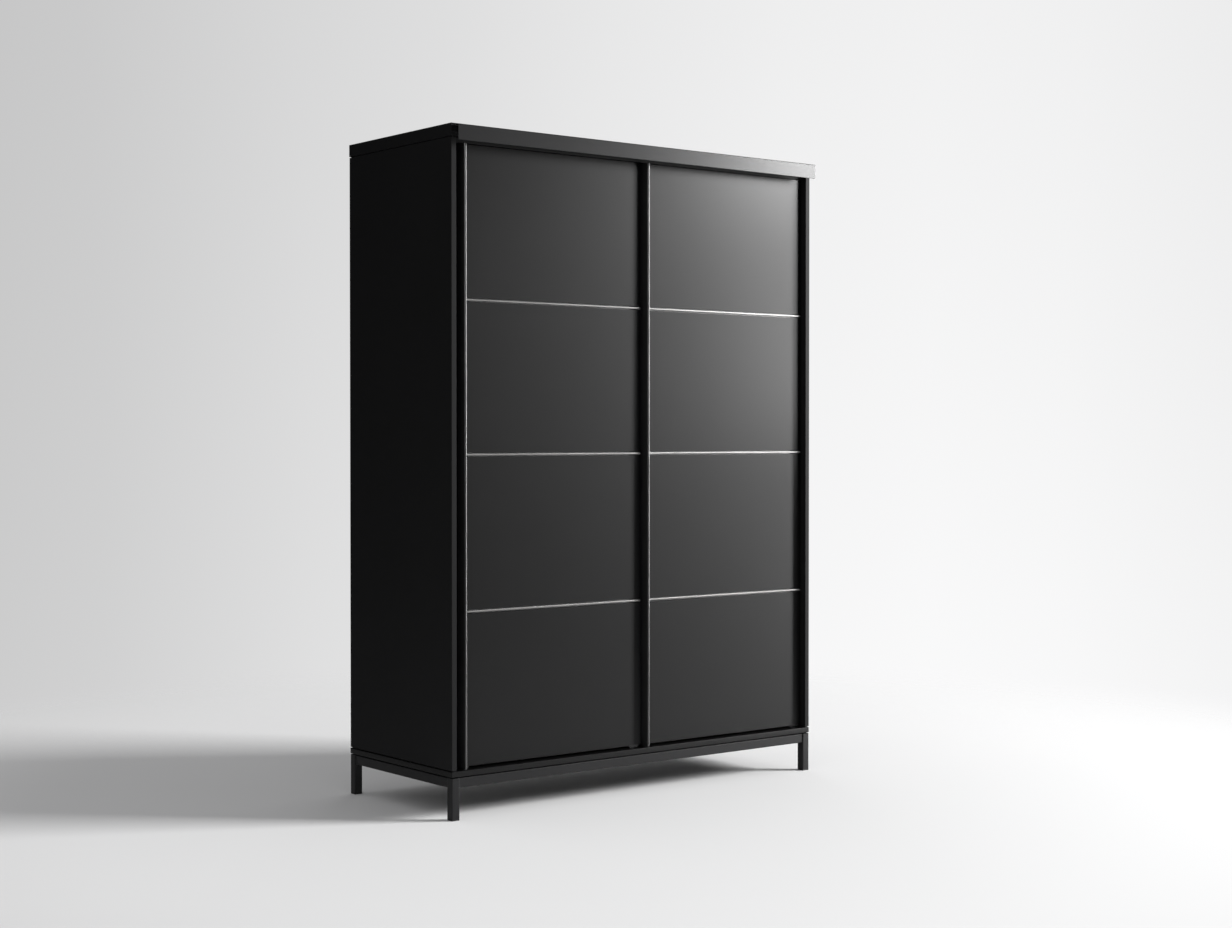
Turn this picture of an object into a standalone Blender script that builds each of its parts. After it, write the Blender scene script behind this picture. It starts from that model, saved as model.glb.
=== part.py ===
"""A free-standing two-door wardrobe: a lacquered carcass on a square-tube base, with two framed door leaves.

Each leaf turns on a bottom and a top pivot near its right edge, and carries a full-height grip on its left
edge. Units are metres. +Z is up, +X is to the right as a person faces the doors, and the front faces -Y.
Every place below is given in the carcass frame: X from the left side panel's outer face, Y back from the side
panels' front edges, Z up from the floor. world() moves it to the object's frame, whose origin is on the floor
under the middle of the bounding box.
"""

import math

import bmesh
import bpy
from mathutils import Vector

# Overall size
HEIGHT = 2.100
WIDTH = 1.481
DEPTH = 0.595
FASCIA_PROUD = 0.0325

# Boards
SIDE_BOARD = 0.0175
TOP_BOARD = 0.0387
BOTTOM_BOARD = 0.0178
BOTTOM_LOW = 0.1312
BOARD_OVERHANG = 0.001
SHADOW_GROOVE = 0.0025
GROOVE_DEPTH = 0.004
EDGE_ROUND = 0.0016
BOTTOM_EDGE_ROUND = 0.0022
HIDDEN_EDGE_ROUND = 0.0008
SHELF_EDGE_ROUND = 0.0010
BACK_BOARD = 0.008
BACK_INSET = 0.004
SIDE_BACK_INSET = 0.0005
BATTEN_WIDTH = 0.016
BATTEN_FROM_SIDE = 0.008
BATTEN_FROM_END = 0.060

# Base frame
LEG = 0.028
TUBE_WALL = 0.002
TUBE_ROUND = 0.003
RAIL_DEPTH = 0.025
RAIL_HEIGHT = 0.031
RAIL_SETBACK = 0.003
FRAME_TOP = 0.1285
GLIDE = 0.004
GLIDE_INSET = 0.0006
GLIDE_ROUND = 0.0009
PLUG_HEIGHT = 0.015
PLUG_ROUND = 0.0012

# Door leaves
LEAF_WIDTH = 0.6985
LEAF_LEFT_EDGES = {"left_door": 0.0482, "right_door": 0.7607}
LEAF_LOW = 0.1520
LEAF_TOP = 2.0437
LEAF_FRONT = 0.022
LEAF_BACK = 0.042
PANEL_THICK = 0.006
PANEL_LOW = 0.1585
PANEL_ROUND = 0.0009
GRIP_WIDTH = 0.008
NOSE_FLAT = 0.0010
STILE_WALL = 0.0024
STILE_WIDTH = 0.030
STILE_ROUND = 0.0008
HINGE_STILE_WIDTH = 0.042
HINGE_STILE_INSET = 0.0005
HINGE_STILE_LIFT = 0.0012
LEAF_RAIL = 0.045
LEAF_RAIL_DROP = 0.003
BEAD_HEIGHTS = (0.627, 1.104, 1.574)
BEAD_FACE = 0.0068
BEAD_PROUD = 0.0035
BEAD_REVEAL = 0.0022
BEAD_NOSE = 0.0026
BEAD_END_INSET = 0.0028
BEAD_FLANGE = 0.024
FLANGE_THICK = 0.003
FLANGE_LAP = 0.0001

# Pivots and catches
PIVOT_FROM_EDGE = 0.020
PIVOT_DEPTH = 0.034
PIN_RADIUS = 0.0039
PIN_HOLE_RADIUS = 0.0043
PIN_ENGAGEMENT = 0.026
PIN_END_GAP = 0.004
PIVOT_PLATE = (0.034, 0.013, 0.0021)
PLATE_ROUND = 0.0005
CATCH_SIZE = (0.016, 0.025, 0.060)
CATCH_HEIGHT = 1.10
CATCH_ROUND = 0.0012
STRIKE_SIZE = (0.015, 0.0015, 0.044)
STRIKE_INSET = 0.0005
STRIKE_ROUND = 0.0004

# Fascia, filler, jamb
FASCIA_LOW = 2.0462
FASCIA_TOP = 2.0940
FASCIA_SHEET = 0.0018
FASCIA_END_INSET = 0.0045
FASCIA_LIP = 0.022
FASCIA_EDGE_ROUND = 0.0005
FASCIA_INNER_ROUND = 0.0006
FASCIA_OUTER_ROUND = 0.0020
FILLER_GAP = 0.0023
FILLER_DEPTH = 0.022
JAMB_WIDTH = 0.043
JAMB_FRONT = 0.0462
JAMB_DEPTH = 0.018

# Interior
PARTITION_LEFT = 0.7447
PARTITION_FRONT = 0.052
SHELF_FRONT = 0.075
LEFT_SHELF_HEIGHT = 1.745
RIGHT_SHELF_HEIGHTS = (0.520, 0.895, 1.270, 1.645)
RAIL_HANG_HEIGHT = 1.675
RAIL_HANG_DEPTH = 0.320
RAIL_HANG_RADIUS = 0.0125
RAIL_HANG_WALL = 0.0012
SOCKET_RADIUS = 0.019
SOCKET_THICK = 0.010
SOCKET_BORE_DEPTH = 0.007
SOCKET_ROUND = 0.0008

# Clearance between pieces that touch, and how far a cutter or a joined shape goes past the edge
GAP = 0.0003
CUT_PAST = 0.005
JOIN_DEPTH = 0.0010

# Worked out from the above
BOTTOM_TOP = BOTTOM_LOW + BOTTOM_BOARD
TOP_LOW = HEIGHT - TOP_BOARD
INNER_LEFT = SIDE_BOARD
INNER_RIGHT = WIDTH - SIDE_BOARD
PARTITION_RIGHT = PARTITION_LEFT + SIDE_BOARD
PANEL_BACK = LEAF_FRONT + PANEL_THICK
STILE_FRONT = PANEL_BACK + GAP
BACK_FRONT = DEPTH - BACK_INSET - BACK_BOARD
FILLER_LOW = LEAF_TOP + FILLER_GAP


def world(x, y, z):
    """A place in the carcass frame, moved to the object's own frame."""
    return Vector((x - WIDTH / 2, y - (DEPTH - FASCIA_PROUD) / 2, z))


def clear_scene():
    for old in list(bpy.data.objects):
        bpy.data.objects.remove(old, do_unlink=True)


def new_collection(name):
    collection = bpy.data.collections.new(name)
    bpy.context.scene.collection.children.link(collection)
    return collection


def new_material(name, colour, roughness, metallic):
    material = bpy.data.materials.new(name)
    material.use_nodes = True
    shader = material.node_tree.nodes["Principled BSDF"]
    shader.inputs["Base Color"].default_value = (*colour, 1.0)
    shader.inputs["Roughness"].default_value = roughness
    shader.inputs["Metallic"].default_value = metallic
    material.diffuse_color = (*colour, 1.0)
    return material


clear_scene()
PARTS = new_collection("wardrobe")
CUTTERS = new_collection("cutters")
MATERIALS = {
    "carcass": new_material("carcass_lacquer", (0.012, 0.012, 0.013), 0.45, 0.0),
    "door": new_material("door_lacquer", (0.016, 0.016, 0.017), 0.40, 0.0),
    "interior": new_material("interior_laminate", (0.050, 0.050, 0.052), 0.60, 0.0),
    "steel": new_material("base_steel", (0.020, 0.020, 0.021), 0.45, 0.6),
    "fascia": new_material("fascia_steel", (0.025, 0.025, 0.026), 0.35, 0.6),
    "grip": new_material("grip_aluminium", (0.060, 0.060, 0.062), 0.35, 1.0),
    "bead": new_material("bead_aluminium", (0.160, 0.158, 0.155), 0.30, 1.0),
    "plastic": new_material("black_plastic", (0.010, 0.010, 0.010), 0.55, 0.0),
    "bright_steel": new_material("bright_steel", (0.420, 0.420, 0.430), 0.30, 1.0),
}


def place(piece, centre, material, parent=None):
    """Puts the piece at a place in the carcass frame, in the parts collection, under its parent empty."""
    PARTS.objects.link(piece)
    piece.data.materials.append(MATERIALS[material])
    piece.location = world(*centre)
    if parent is not None:
        piece.parent = parent
        piece.location = piece.location - parent.location
    return piece


def add_bevel(piece, width):
    bevel = piece.modifiers.new("rounded edges", "BEVEL")
    bevel.width = width
    bevel.segments = 2
    bevel.limit_method = "ANGLE"
    bevel.harden_normals = False


def box_object(name, size):
    """A box mesh of this size about its own origin, on a new object in no collection."""
    shape = bmesh.new()
    bmesh.ops.create_cube(shape, size=1.0)
    bmesh.ops.scale(shape, vec=Vector(size), verts=shape.verts)
    mesh = bpy.data.meshes.new(name)
    shape.to_mesh(mesh)
    shape.free()
    return bpy.data.objects.new(name, mesh)


def middle_and_size(low, high):
    centre = [(a + b) / 2 for a, b in zip(low, high)]
    size = [b - a for a, b in zip(low, high)]
    return centre, size


def board(name, low, high, material, parent=None, edge=EDGE_ROUND):
    """A rectangular piece between two corners in the carcass frame, with rounded edges."""
    centre, size = middle_and_size(low, high)
    piece = place(box_object(name, size), centre, material, parent)
    add_bevel(piece, edge)
    return piece


def rounded(outline, radii, steps=4):
    """The outline with each corner that has a radius turned into an arc of steps + 1 points."""
    points = []
    for index, corner in enumerate(outline):
        radius = radii[index]
        here = Vector(corner)
        if radius == 0:
            points.append(tuple(here))
            continue
        before = (Vector(outline[index - 1]) - here).normalized()
        after = (Vector(outline[(index + 1) % len(outline)]) - here).normalized()
        half = before.angle(after) / 2
        centre = here + (before + after).normalized() * (radius / math.sin(half))
        start = here + before * (radius / math.tan(half)) - centre
        end = here + after * (radius / math.tan(half)) - centre
        for step in range(steps + 1):
            points.append(tuple(centre + start.lerp(end, step / steps).normalized() * radius))
    return points


def rectangle(width, height, radius=0.0, steps=4):
    a, b = width / 2, height / 2
    return rounded([(-a, -b), (a, -b), (a, b), (-a, b)], [radius] * 4, steps)


def circle(radius, sides=32):
    turn = 2 * math.pi / sides
    return [(radius * math.cos(turn * k), radius * math.sin(turn * k)) for k in range(sides)]


# How a flat outline lies before it is drawn out along each axis: its own X and Y become
# Y and Z for axis X, X and Z for axis Y, and X and Y for axis Z.
TURN_TO_AXIS = {
    "X": (math.pi / 2, 0.0, math.pi / 2),
    "Y": (math.pi / 2, 0.0, 0.0),
    "Z": (0.0, 0.0, 0.0),
}


def prism_object(name, outlines, axis, length):
    """The filled outlines drawn out along one axis: the first is the outer edge and the others are holes."""
    curve = bpy.data.curves.new(name, "CURVE")
    curve.dimensions = "2D"
    curve.fill_mode = "BOTH"
    curve.extrude = length / 2
    for outline in outlines:
        spline = curve.splines.new("POLY")
        spline.points.add(len(outline) - 1)
        for point, (a, b) in zip(spline.points, outline):
            point.co = (a, b, 0.0, 1.0)
        spline.use_cyclic_u = True
    piece = bpy.data.objects.new(name, curve)
    piece.rotation_euler = TURN_TO_AXIS[axis]
    return piece


def as_mesh(piece):
    """The curve object's solid as a mesh object of the same name, place and parent, with its caps welded."""
    bpy.context.view_layer.update()
    evaluated = piece.evaluated_get(bpy.context.evaluated_depsgraph_get())
    mesh = bpy.data.meshes.new_from_object(evaluated)
    shape = bmesh.new()
    shape.from_mesh(mesh)
    bmesh.ops.remove_doubles(shape, verts=shape.verts, dist=0.00001)
    bmesh.ops.recalc_face_normals(shape, faces=shape.faces)
    shape.to_mesh(mesh)
    shape.free()
    name = piece.name
    parent = piece.parent
    location = piece.location.copy()
    rotation = piece.rotation_euler.copy()
    bpy.data.objects.remove(piece, do_unlink=True)
    solid = bpy.data.objects.new(name, mesh)
    mesh.name = name
    PARTS.objects.link(solid)
    solid.parent = parent
    solid.location = location
    solid.rotation_euler = rotation
    return solid


def prism(name, outlines, axis, length, centre, material, parent=None):
    return as_mesh(place(prism_object(name, outlines, axis, length), centre, material, parent))


def add_helper(helper, centre, parent=None):
    """Puts a cutter, or a shape to be joined on, where the build leaves it out."""
    CUTTERS.objects.link(helper)
    helper.location = world(*centre)
    if parent is not None:
        helper.parent = parent
        helper.location = helper.location - parent.location
    helper.hide_render = True
    helper.display_type = "WIRE"
    return helper


def add_boolean(piece, helper, operation):
    boolean = piece.modifiers.new(operation.lower() + " " + helper.name, "BOOLEAN")
    boolean.operation = operation
    boolean.solver = "EXACT"
    boolean.object = helper


def helper_box(name, low, high, parent=None):
    centre, size = middle_and_size(low, high)
    return add_helper(box_object(name, size), centre, parent)


def rod_object(name, radius, length, sides=32):
    shape = bmesh.new()
    bmesh.ops.create_cone(
        shape, cap_ends=True, segments=sides, radius1=radius, radius2=radius, depth=length
    )
    mesh = bpy.data.meshes.new(name)
    shape.to_mesh(mesh)
    shape.free()
    return bpy.data.objects.new(name, mesh)


def helper_rod(name, radius, low_z, high_z, x, y, parent=None):
    """An upright rod between two heights, as a helper."""
    rod = rod_object(name, radius, high_z - low_z)
    return add_helper(rod, (x, y, (low_z + high_z) / 2), parent)


def side_panel(name, outer_x, inward):
    """A side board whose top and bottom edges are rebated outside, which leaves the shadow grooves."""
    inner_x = outer_x + inward * SIDE_BOARD
    left, right = sorted((outer_x, inner_x))
    low = (left, 0.0, BOTTOM_TOP + SHADOW_GROOVE)
    back = DEPTH - SIDE_BACK_INSET
    piece = board(name, low, (right, back, TOP_LOW - SHADOW_GROOVE), "carcass")
    left, right = sorted((outer_x + inward * GROOVE_DEPTH, inner_x))
    low = (left, GROOVE_DEPTH, BOTTOM_TOP + GAP)
    high = (right, back - GROOVE_DEPTH, TOP_LOW - GAP)
    add_boolean(piece, helper_box(name + "_tongue", low, high), "UNION")


def build_carcass():
    side_panel("left_side_panel", 0.0, 1)
    side_panel("right_side_panel", WIDTH, -1)
    left, right = -BOARD_OVERHANG, WIDTH + BOARD_OVERHANG
    board("top_board", (left, 0.0, TOP_LOW), (right, DEPTH, HEIGHT), "carcass")
    low, high = (left, 0.0, BOTTOM_LOW), (right, DEPTH, BOTTOM_TOP)
    bottom = board("bottom_board", low, high, "carcass", edge=BOTTOM_EDGE_ROUND)
    battens = {"left": BATTEN_FROM_SIDE, "right": WIDTH - BATTEN_FROM_SIDE - BATTEN_WIDTH}
    for side, x in battens.items():
        low = (x, BATTEN_FROM_END, FRAME_TOP + GAP)
        high = (x + BATTEN_WIDTH, DEPTH - BATTEN_FROM_END, BOTTOM_LOW + JOIN_DEPTH)
        add_boolean(bottom, helper_box(side + "_batten", low, high), "UNION")
    board(
        "back_panel",
        (INNER_LEFT + GAP, BACK_FRONT, BOTTOM_TOP + GAP),
        (INNER_RIGHT - GAP, BACK_FRONT + BACK_BOARD, TOP_LOW - GAP),
        "interior",
        edge=HIDDEN_EDGE_ROUND,
    )
    board(
        "centre_partition",
        (PARTITION_LEFT, PARTITION_FRONT, BOTTOM_TOP + GAP),
        (PARTITION_RIGHT, BACK_FRONT - GAP, TOP_LOW - GAP),
        "interior",
        edge=HIDDEN_EDGE_ROUND,
    )
    board(
        "left_jamb_strip",
        (INNER_LEFT + GAP, JAMB_FRONT, BOTTOM_TOP + GAP),
        (INNER_LEFT + JAMB_WIDTH, JAMB_FRONT + JAMB_DEPTH, TOP_LOW - GAP),
        "carcass",
        edge=HIDDEN_EDGE_ROUND,
    )


def build_interior():
    back = BACK_FRONT - GAP
    low = LEFT_SHELF_HEIGHT
    board(
        "left_top_shelf",
        (INNER_LEFT + GAP, SHELF_FRONT, low),
        (PARTITION_LEFT - GAP, back, low + SIDE_BOARD),
        "interior",
        edge=SHELF_EDGE_ROUND,
    )
    for number, low in enumerate(RIGHT_SHELF_HEIGHTS, 1):
        board(
            f"right_shelf_{number}",
            (PARTITION_RIGHT + GAP, SHELF_FRONT, low),
            (INNER_RIGHT - GAP, back, low + SIDE_BOARD),
            "interior",
            edge=SHELF_EDGE_ROUND,
        )
    build_hanging_rail()


def build_hanging_rail():
    """A round tube whose ends sit in two blind sockets, one on the side panel and one on the partition."""
    floor = SOCKET_THICK - SOCKET_BORE_DEPTH
    left = INNER_LEFT + GAP
    right = PARTITION_LEFT - GAP
    sockets = (("hanging_rail_left_socket", left, 1), ("hanging_rail_right_socket", right, -1))
    for name, wall, inward in sockets:
        middle = (wall + inward * SOCKET_THICK / 2, RAIL_HANG_DEPTH, RAIL_HANG_HEIGHT)
        socket = place(rod_object(name, SOCKET_RADIUS, SOCKET_THICK, 40), middle, "bright_steel")
        socket.rotation_euler = (0.0, math.pi / 2, 0.0)
        bore_length = SOCKET_BORE_DEPTH + CUT_PAST
        bore = rod_object(name + "_bore", RAIL_HANG_RADIUS + GAP, bore_length, 40)
        bore.rotation_euler = (0.0, math.pi / 2, 0.0)
        bore_middle = wall + inward * (floor + bore_length / 2)
        add_helper(bore, (bore_middle, RAIL_HANG_DEPTH, RAIL_HANG_HEIGHT))
        add_boolean(socket, bore, "DIFFERENCE")
        add_bevel(socket, SOCKET_ROUND)
    start = left + floor + GAP
    end = right - floor - GAP
    outlines = [circle(RAIL_HANG_RADIUS, 40), circle(RAIL_HANG_RADIUS - RAIL_HANG_WALL, 40)]
    middle = ((start + end) / 2, RAIL_HANG_DEPTH, RAIL_HANG_HEIGHT)
    prism("hanging_rail", outlines, "X", end - start, middle, "bright_steel")


def tube_outlines(width, height):
    wall = 2 * TUBE_WALL
    return [rectangle(width, height, TUBE_ROUND), rectangle(width - wall, height - wall)]


def build_base():
    """Four square legs on glides, with four rectangular rails between them, all of steel tube."""
    leg_low = GLIDE + GAP
    leg_length = FRAME_TOP - leg_low
    rail_z = FRAME_TOP - RAIL_HEIGHT / 2
    near, far = LEG / 2, DEPTH - LEG / 2
    left, right = LEG / 2, WIDTH - LEG / 2
    corners = {
        "front_left": (left, near),
        "front_right": (right, near),
        "back_left": (left, far),
        "back_right": (right, far),
    }
    plug = LEG - 2 * TUBE_WALL - 2 * GAP
    for corner, (x, y) in corners.items():
        middle = (x, y, leg_low + leg_length / 2)
        prism(corner + "_leg", tube_outlines(LEG, LEG), "Z", leg_length, middle, "steel")
        pad = LEG / 2 - GLIDE_INSET
        low, high = (x - pad, y - pad, 0.0), (x + pad, y + pad, GLIDE)
        glide = board(corner + "_glide", low, high, "plastic", edge=GLIDE_ROUND)
        low = (x - plug / 2, y - plug / 2, GLIDE / 2)
        high = (x + plug / 2, y + plug / 2, GLIDE + PLUG_HEIGHT)
        stem = helper_box(corner + "_glide_plug", low, high)
        add_bevel(stem, PLUG_ROUND)
        add_boolean(glide, stem, "UNION")
    across = WIDTH - 2 * LEG - 2 * GAP
    along = DEPTH - 2 * LEG - 2 * GAP
    set_in = RAIL_SETBACK + RAIL_DEPTH / 2
    section = tube_outlines(RAIL_DEPTH, RAIL_HEIGHT)
    prism("front_base_rail", section, "X", across, (WIDTH / 2, set_in, rail_z), "steel")
    prism("back_base_rail", section, "X", across, (WIDTH / 2, DEPTH - set_in, rail_z), "steel")
    prism("left_base_rail", section, "Y", along, (set_in, DEPTH / 2, rail_z), "steel")
    prism("right_base_rail", section, "Y", along, (WIDTH - set_in, DEPTH / 2, rail_z), "steel")


def build_fascia():
    """One folded sheet: a front plate, a top flange back to the top board, and a lip down that board's edge."""
    front, back = -FASCIA_PROUD, -GAP
    sheet = FASCIA_SHEET
    outline = [
        (front, FASCIA_LOW),
        (front + sheet, FASCIA_LOW),
        (front + sheet, FASCIA_TOP - sheet),
        (back - sheet, FASCIA_TOP - sheet),
        (back - sheet, FASCIA_TOP - FASCIA_LIP),
        (back, FASCIA_TOP - FASCIA_LIP),
        (back, FASCIA_TOP),
        (front, FASCIA_TOP),
    ]
    edge, inner, outer = FASCIA_EDGE_ROUND, FASCIA_INNER_ROUND, FASCIA_OUTER_ROUND
    radii = [edge, edge, inner, inner, 0.0, 0.0, outer, outer]
    centre = (WIDTH / 2, 0.0, 0.0)
    length = WIDTH - 2 * FASCIA_END_INSET
    prism("fascia", [rounded(outline, radii)], "X", length, centre, "fascia")


def pivot_x(door):
    return LEAF_LEFT_EDGES[door] + LEAF_WIDTH - PIVOT_FROM_EDGE


def build_filler():
    """The strip that the leaves close under, bored for the two top pivot pins."""
    low = (INNER_LEFT + GAP, LEAF_FRONT, FILLER_LOW)
    high = (INNER_RIGHT - GAP, LEAF_FRONT + FILLER_DEPTH, TOP_LOW - GAP)
    filler = board("top_filler", low, high, "carcass", edge=HIDDEN_EDGE_ROUND)
    for door in LEAF_LEFT_EDGES:
        hole = helper_rod(
            door + "_filler_hole", PIN_HOLE_RADIUS, FILLER_LOW - CUT_PAST, HEIGHT, pivot_x(door), PIVOT_DEPTH
        )
        add_boolean(filler, hole, "DIFFERENCE")


def build_pivots(door):
    """The fixed pins that the leaf turns on: one stands on a plate, the other hangs from the filler."""
    x = pivot_x(door)
    width, depth, thick = PIVOT_PLATE
    plate_low = BOTTOM_TOP + GAP
    low = (x - width / 2, PIVOT_DEPTH - depth / 2, plate_low)
    high = (x + width / 2, PIVOT_DEPTH + depth / 2, plate_low + thick)
    plate = board(door + "_bottom_pivot", low, high, "bright_steel", edge=PLATE_ROUND)
    pin_low = plate_low + JOIN_DEPTH
    pin_top = hinge_stile_low() + PIN_ENGAGEMENT - PIN_END_GAP
    pin = helper_rod(door + "_bottom_pin", PIN_RADIUS, pin_low, pin_top, x, PIVOT_DEPTH)
    add_boolean(plate, pin, "UNION")
    low_z = LEAF_TOP - PIN_ENGAGEMENT + PIN_END_GAP
    high_z = TOP_LOW - 2 * GAP
    pin = rod_object(door + "_top_pivot", PIN_RADIUS, high_z - low_z)
    place(pin, (x, PIVOT_DEPTH, (low_z + high_z) / 2), "bright_steel")


def hinge_stile_low():
    return BOTTOM_TOP + GAP + PIVOT_PLATE[2] + HINGE_STILE_LIFT


def leaf_empty(door):
    empty = bpy.data.objects.new(door + "_axis", None)
    PARTS.objects.link(empty)
    empty.location = world(pivot_x(door), PIVOT_DEPTH, 0.0)
    return empty


def build_grip_stile(door, left, empty):
    """The left stile: a thin fin with a round nose, proud of the panels, on a hollow stile behind them."""
    nose = (GRIP_WIDTH - NOSE_FLAT) / 2
    outline = [
        (0.0, 0.0),
        (GRIP_WIDTH, 0.0),
        (GRIP_WIDTH, STILE_FRONT),
        (STILE_WIDTH, STILE_FRONT),
        (STILE_WIDTH, LEAF_BACK),
        (0.0, LEAF_BACK),
    ]
    radii = [nose, nose, 0.0, 0.0, STILE_ROUND, STILE_ROUND]
    wall = STILE_WALL
    hollow = [
        (wall, STILE_FRONT + wall),
        (STILE_WIDTH - wall, STILE_FRONT + wall),
        (STILE_WIDTH - wall, LEAF_BACK - wall),
        (wall, LEAF_BACK - wall),
    ]
    centre = (left, 0.0, (LEAF_LOW + LEAF_TOP) / 2)
    name = door + "_grip_stile"
    outlines = [rounded(outline, radii, 5), hollow]
    prism(name, outlines, "Z", LEAF_TOP - LEAF_LOW, centre, "grip", empty)


def build_hinge_stile(door, left, empty):
    """The right stile, bored at each end for a pivot pin."""
    right = left + LEAF_WIDTH
    low_z = hinge_stile_low()
    low = (right - HINGE_STILE_WIDTH, STILE_FRONT, low_z)
    high = (right - HINGE_STILE_INSET, LEAF_BACK, LEAF_TOP)
    stile = board(door + "_hinge_stile", low, high, "grip", empty, edge=HIDDEN_EDGE_ROUND)
    x = pivot_x(door)
    ends = {
        "bottom": (low_z - CUT_PAST, low_z + PIN_ENGAGEMENT),
        "top": (LEAF_TOP - PIN_ENGAGEMENT, LEAF_TOP + CUT_PAST),
    }
    for end, (from_z, to_z) in ends.items():
        name = f"{door}_{end}_pin_hole"
        hole = helper_rod(name, PIN_HOLE_RADIUS, from_z, to_z, x, PIVOT_DEPTH, empty)
        add_boolean(stile, hole, "DIFFERENCE")


def build_leaf_rails(door, left, empty):
    start = left + STILE_WIDTH + GAP
    end = left + LEAF_WIDTH - HINGE_STILE_WIDTH - GAP
    heights = {
        "bottom_rail": (PANEL_LOW - LEAF_RAIL_DROP, PANEL_LOW + LEAF_RAIL),
        "top_rail": (LEAF_TOP - LEAF_RAIL, LEAF_TOP),
    }
    for rail, (low_z, high_z) in heights.items():
        low, high = (start, STILE_FRONT, low_z), (end, LEAF_BACK, high_z)
        board(f"{door}_{rail}", low, high, "grip", empty, edge=HIDDEN_EDGE_ROUND)


def build_panels(door, left, empty):
    """Four flat panels in front of the frame, with a reveal on both sides of each bead."""
    start = left + GRIP_WIDTH + GAP
    end = left + LEAF_WIDTH
    reveal = BEAD_FACE / 2 + BEAD_REVEAL
    edges = [PANEL_LOW]
    for height in BEAD_HEIGHTS:
        edges += [height - reveal, height + reveal]
    edges.append(LEAF_TOP)
    for number in range(len(edges) // 2):
        low = (start, LEAF_FRONT, edges[2 * number])
        high = (end, PANEL_BACK, edges[2 * number + 1])
        board(f"{door}_panel_{number + 1}", low, high, "door", empty, edge=PANEL_ROUND)


def build_beads(door, left, empty):
    """Three T-shaped beads: a rounded face in front of the panels, and a flange behind their edges."""
    start = left + GRIP_WIDTH + GAP
    end = left + LEAF_WIDTH - BEAD_END_INSET
    face = BEAD_FACE / 2
    front = LEAF_FRONT - BEAD_PROUD
    back = PANEL_BACK + GAP
    outline = [(front, -face), (back, -face), (back, face), (front, face)]
    radii = [BEAD_NOSE, 0.0, 0.0, BEAD_NOSE]
    flange_start = left + STILE_WIDTH + GAP
    flange_end = left + LEAF_WIDTH - HINGE_STILE_WIDTH - GAP
    for number, height in enumerate(BEAD_HEIGHTS, 1):
        name = f"{door}_bead_{number}"
        middle = ((start + end) / 2, 0.0, height)
        length = end - start
        section = [rounded(outline, radii, 5)]
        bead = prism(name, section, "X", length, middle, "bead", empty)
        low = (flange_start, back - FLANGE_LAP, height - BEAD_FLANGE / 2)
        high = (flange_end, back + FLANGE_THICK, height + BEAD_FLANGE / 2)
        add_boolean(bead, helper_box(name + "_flange", low, high, empty), "UNION")


def catch_left_edge(door):
    """Each catch is fixed to the piece behind its leaf's free edge."""
    if door == "left_door":
        return INNER_LEFT + JAMB_WIDTH + GAP
    return PARTITION_RIGHT + GAP


def build_catch(door, empty):
    width, depth, height = CATCH_SIZE
    strike_width, strike_depth, strike_height = STRIKE_SIZE
    x = catch_left_edge(door)
    strike_front = LEAF_BACK + GAP
    catch_front = strike_front + strike_depth + GAP
    low = (x, catch_front, CATCH_HEIGHT - height / 2)
    high = (x + width, catch_front + depth, CATCH_HEIGHT + height / 2)
    board(door + "_catch", low, high, "plastic", edge=CATCH_ROUND)
    strike_x = x + STRIKE_INSET
    strike_back = strike_front + strike_depth
    low = (strike_x, strike_front, CATCH_HEIGHT - strike_height / 2)
    high = (strike_x + strike_width, strike_back, CATCH_HEIGHT + strike_height / 2)
    board(door + "_strike", low, high, "bright_steel", empty, edge=STRIKE_ROUND)


def build_door(door):
    left = LEAF_LEFT_EDGES[door]
    empty = leaf_empty(door)
    build_grip_stile(door, left, empty)
    build_hinge_stile(door, left, empty)
    build_leaf_rails(door, left, empty)
    build_panels(door, left, empty)
    build_beads(door, left, empty)
    build_catch(door, empty)
    build_pivots(door)


build_carcass()
build_interior()
build_base()
build_fascia()
build_filler()
for door_name in LEAF_LEFT_EDGES:
    build_door(door_name)
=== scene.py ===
"""A black two-door wardrobe on a tube base, finished around its frame, on a pale studio floor.

The frame is loaded first and stays fixed. Each operator below makes or finishes one kind of
piece, in metres, with +Z up, +X to the right as a person faces the doors, and the doors facing -Y.
"""

import math

import bmesh
import bpy
from bpy.props import FloatProperty, FloatVectorProperty, IntProperty, PointerProperty
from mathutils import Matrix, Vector


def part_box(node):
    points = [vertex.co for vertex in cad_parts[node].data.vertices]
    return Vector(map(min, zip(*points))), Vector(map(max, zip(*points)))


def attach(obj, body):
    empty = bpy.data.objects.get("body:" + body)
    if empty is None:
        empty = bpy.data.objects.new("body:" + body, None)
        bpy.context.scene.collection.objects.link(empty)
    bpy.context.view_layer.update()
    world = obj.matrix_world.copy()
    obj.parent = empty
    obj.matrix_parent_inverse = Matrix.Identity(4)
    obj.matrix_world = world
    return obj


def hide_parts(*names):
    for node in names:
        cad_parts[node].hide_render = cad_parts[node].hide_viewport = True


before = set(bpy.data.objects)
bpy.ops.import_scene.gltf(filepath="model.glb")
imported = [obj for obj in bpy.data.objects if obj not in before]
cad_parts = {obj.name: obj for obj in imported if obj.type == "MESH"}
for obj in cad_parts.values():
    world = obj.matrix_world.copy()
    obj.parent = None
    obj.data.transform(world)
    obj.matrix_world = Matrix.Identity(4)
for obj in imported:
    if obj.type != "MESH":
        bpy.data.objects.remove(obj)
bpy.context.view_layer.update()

bl_info = {
    "name": "Wardrobe",
    "version": (1, 0, 0),
    "blender": (4, 5, 0),
    "location": "3D View > Sidebar > Wardrobe",
    "description": "Finishes the pieces of a two-door wardrobe and sets up its studio",
    "category": "Object",
}

DOORS = ("left_door", "right_door")
CORNERS = ("front_left", "front_right", "back_left", "back_right")
RIGHT_SHELVES = tuple(f"right_shelf_{number}" for number in range(1, 5))

# Edges that turn by less than this are shaded as one curve.
SMOOTH_ANGLE = math.radians(40.0)
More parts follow.
